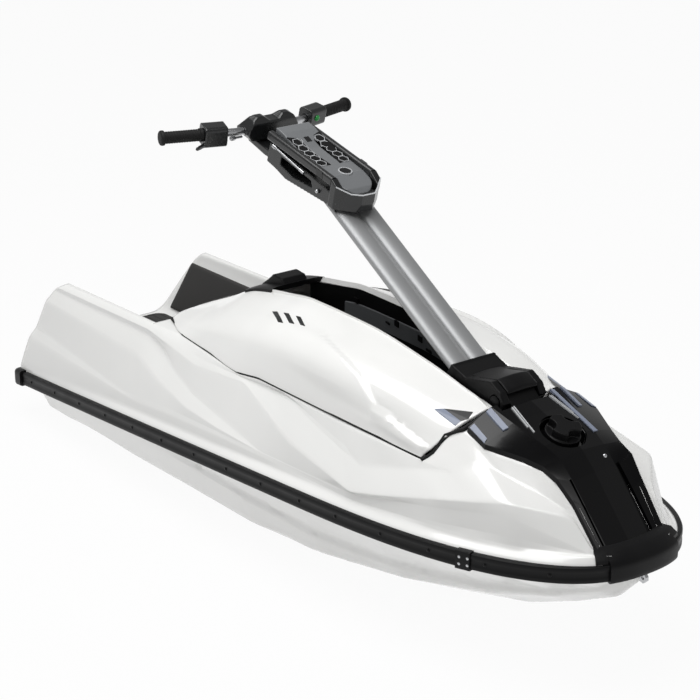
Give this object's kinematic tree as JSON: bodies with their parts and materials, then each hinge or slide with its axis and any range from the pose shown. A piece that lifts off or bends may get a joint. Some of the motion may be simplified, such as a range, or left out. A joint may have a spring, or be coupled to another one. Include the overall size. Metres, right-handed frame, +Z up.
{
  "type": "stand up personal watercraft",
  "caption": "Stand-up personal watercraft: decked hull with rub rail, open standing tray, engine hood, swinging handle pole with handlebar, and a water jet that steers.",
  "frame": {"origin": "under the middle of the length, on the floor below the keel pad", "axes": "+X to the bow, +Y to port, +Z up"},
  "size_m": [2.4306, 0.739, 1.0999],
  "materials": {
    "white_gelcoat": "gloss",
    "black_gloss": "gloss",
    "black_trim": "satin",
    "grey_trim": "satin",
    "rail_rubber": "matte",
    "foam_mat": "matte",
    "grip_rubber": "matte",
    "pole_alloy": "satin",
    "pump_alloy": "cast",
    "stainless": "brushed",
    "engine_paint": "satin"
  },
  "bodies": {
    "hull": {"hull_bottom": "white_gelcoat", "deck": "white_gelcoat", "nose_panel": "black_gloss", "filler_neck": "black_trim", "rail_starboard": "rail_rubber", "rail_port": "rail_rubber", "rail_bow": "rail_rubber", "rail_stern": "rail_rubber", "bow_bumper": "rail_rubber", "engine_block": "engine_paint", "tray_mat": "foam_mat", "gunwale_pad_starboard": "foam_mat", "gunwale_pad_port": "foam_mat", "pole_bracket": "black_trim", "pivot_pin": "stainless", "pump_housing": "pump_alloy", "pump_outlet": "pump_alloy", "ride_plate": "pump_alloy", "intake_grate": "pump_alloy", "bow_eye": "stainless", "stern_eyes": "stainless", "drain_plugs": "black_trim"},
    "handle_pole": {"pole_extrusion": "pole_alloy", "pole_collar": "black_gloss", "head_base": "black_trim", "head_cover": "grey_trim", "head_rails": "black_gloss", "head_nose": "black_gloss"},
    "handlebar": {"handlebar_tube": "stainless", "bar_cover": "black_trim", "grip_starboard": "grip_rubber", "grip_port": "grip_rubber", "throttle_housing": "black_trim", "switch_housing": "black_trim"},
    "engine_hood": {"hood": "white_gelcoat", "hood_liner": "black_trim", "hood_rest": "black_trim"},
    "filler_cap": {"fuel_cap": "black_trim"},
    "pump_impeller": {"impeller": "stainless"},
    "jet_nozzle": {"steering_nozzle": "pump_alloy"}
  },
  "joints": [
    {"name": "pole_lift", "type": "hinge", "parent": "hull", "child": "handle_pole", "pos_m": [0.742, 0, 0.588], "axis": [0, 1, 0], "range_deg": [-14, 35]},
    {"name": "handlebar_turn", "type": "hinge", "parent": "handle_pole", "child": "handlebar", "pos_m": [-0.2732, 0, 1.0553], "axis": [0.2453, 0, 0.9694], "range_deg": [-25, 25]},
    {"name": "nozzle_steer", "type": "hinge", "parent": "hull", "child": "jet_nozzle", "pos_m": [-1.108, 0, 0.104], "axis": [0, 0, 1], "range_deg": [-20, 20]},
    {"name": "impeller_spin", "type": "hinge", "parent": "hull", "child": "pump_impeller", "pos_m": [-0.8625, 0, 0.104], "axis": [1, 0, 0], "continuous": true},
    {"name": "hood_tip", "type": "hinge", "parent": "hull", "child": "engine_hood", "pos_m": [0.767, 0, 0.596], "axis": [0, 1, 0], "range_deg": [0, 15]},
    {"name": "cap_turn", "type": "hinge", "parent": "hull", "child": "filler_cap", "pos_m": [0.908, 0, 0.545], "axis": [0.3206, 0, 0.9472], "range_deg": [0, 270]}
  ],
  "couplings": [
    {"joint": "nozzle_steer", "follows": "handlebar_turn", "ratio": -0.8}
  ]
}
